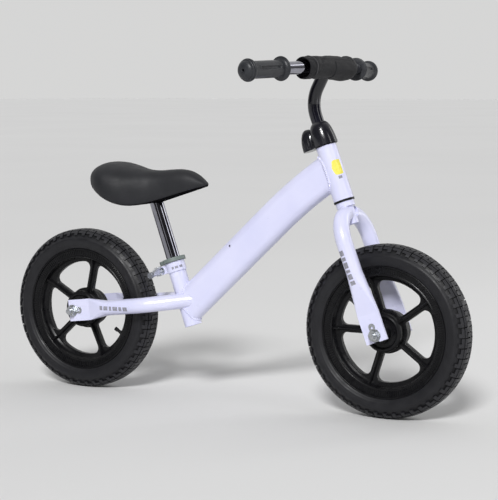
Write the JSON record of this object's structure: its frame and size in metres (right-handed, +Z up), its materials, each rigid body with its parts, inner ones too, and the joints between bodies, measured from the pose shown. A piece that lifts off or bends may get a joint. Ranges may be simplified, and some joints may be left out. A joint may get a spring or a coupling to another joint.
{
  "type": "balance bike",
  "caption": "Child's balance bike without pedals: oval main tube, straight fork, moulded spoked wheels, padded T-shaped handlebar and quick-release saddle height.",
  "frame": {"origin": "on the ground, midway between the two axles in the middle plane", "axes": "+X is the riding direction, +Y is the rider's left, +Z is up"},
  "size_m": [0.92, 0.4864, 0.6176],
  "materials": {
    "frame_paint": "glossy lavender-white enamel over steel tube",
    "grey_plastic": "grey-green moulded plastic",
    "zinc_steel": "bright zinc-plated steel",
    "chrome_steel": "polished dark chrome plate on steel tube",
    "black_plastic": "black moulded plastic",
    "wheel_plastic": "black glass-filled nylon, satin",
    "tyre_rubber": "black tyre rubber",
    "tube_rubber": "smooth black rubber",
    "gloss_cover": "glossy black moulded cover",
    "gloss_black_paint": "high-gloss black paint on steel tube",
    "grip_rubber": "satin black rubber with slots",
    "pad_fabric": "black nylon cloth over foam",
    "saddle_vinyl": "smooth black vinyl over foam"
  },
  "bodies": {
    "frame": {"main_tube": "frame_paint", "head_tube": "frame_paint", "seat_tube": "frame_paint", "right_chain_stay": "frame_paint", "left_chain_stay": "frame_paint", "seat_clamp": "frame_paint", "seat_clamp_ring": "grey_plastic", "skewer_rod": "zinc_steel", "skewer_nut": "zinc_steel", "lever_pivot_pin": "zinc_steel", "lever_washer": "zinc_steel", "upper_headset_bush": "black_plastic", "lower_headset_bush": "black_plastic", "rear_axle": "zinc_steel", "rear_axle_nuts": "zinc_steel", "rear_tab_washers": "zinc_steel", "rear_hub_spacers": "zinc_steel"},
    "release_lever": {"quick_release_lever": "zinc_steel"},
    "rear_wheel": {"rear_wheel_core": "wheel_plastic", "rear_tyre": "tyre_rubber", "rear_inner_tube": "tube_rubber", "rear_valve": "tube_rubber", "rear_bearings": "zinc_steel"},
    "fork": {"steerer_tube": "frame_paint", "crown_race": "frame_paint", "right_fork_leg": "frame_paint", "left_fork_leg": "frame_paint", "stem_clamp": "zinc_steel", "stem_clamp_bolts": "zinc_steel", "stem_clamp_cover": "gloss_cover", "front_axle": "zinc_steel", "front_axle_nuts": "zinc_steel", "front_tab_washers": "zinc_steel", "front_hub_spacers": "zinc_steel"},
    "front_wheel": {"front_wheel_core": "wheel_plastic", "front_tyre": "tyre_rubber", "front_inner_tube": "tube_rubber", "front_valve": "tube_rubber", "front_bearings": "zinc_steel"},
    "handlebar": {"stem_riser": "gloss_black_paint", "crossbar": "chrome_steel", "right_grip": "grip_rubber", "left_grip": "grip_rubber", "bar_pad": "pad_fabric"},
    "saddle": {"seat_post": "chrome_steel", "saddle_base": "black_plastic", "saddle_cushion": "saddle_vinyl", "saddle_bolt": "zinc_steel"}
  },
  "joints": [
    {"name": "steering", "type": "hinge", "parent": "frame", "child": "fork", "pos_m": [0.20937, 0, 0.41771], "axis": [-0.3518, 0, 0.9361], "range_deg": [-90, 90]},
    {"name": "front_wheel_spin", "type": "hinge", "parent": "fork", "child": "front_wheel", "pos_m": [0.31, 0, 0.15], "axis": [0, 1, 0], "continuous": true},
    {"name": "rear_wheel_spin", "type": "hinge", "parent": "frame", "child": "rear_wheel", "pos_m": [-0.31, 0, 0.15], "axis": [0, 1, 0], "continuous": true},
    {"name": "bar_height", "type": "slide", "parent": "fork", "child": "handlebar", "axis": [-0.3518, 0, 0.9361], "range_m": [0, 0.045]},
    {"name": "saddle_height", "type": "slide", "parent": "frame", "child": "saddle", "axis": [-0.3305, 0, 0.9438], "range_m": [-0.05, 0.025]},
    {"name": "lever_throw", "type": "hinge", "parent": "frame", "child": "release_lever", "pos_m": [-0.13661, -0.021, 0.22994], "axis": [-0.3305, 0, 0.9438], "range_deg": [-62, 38]}
  ]
}
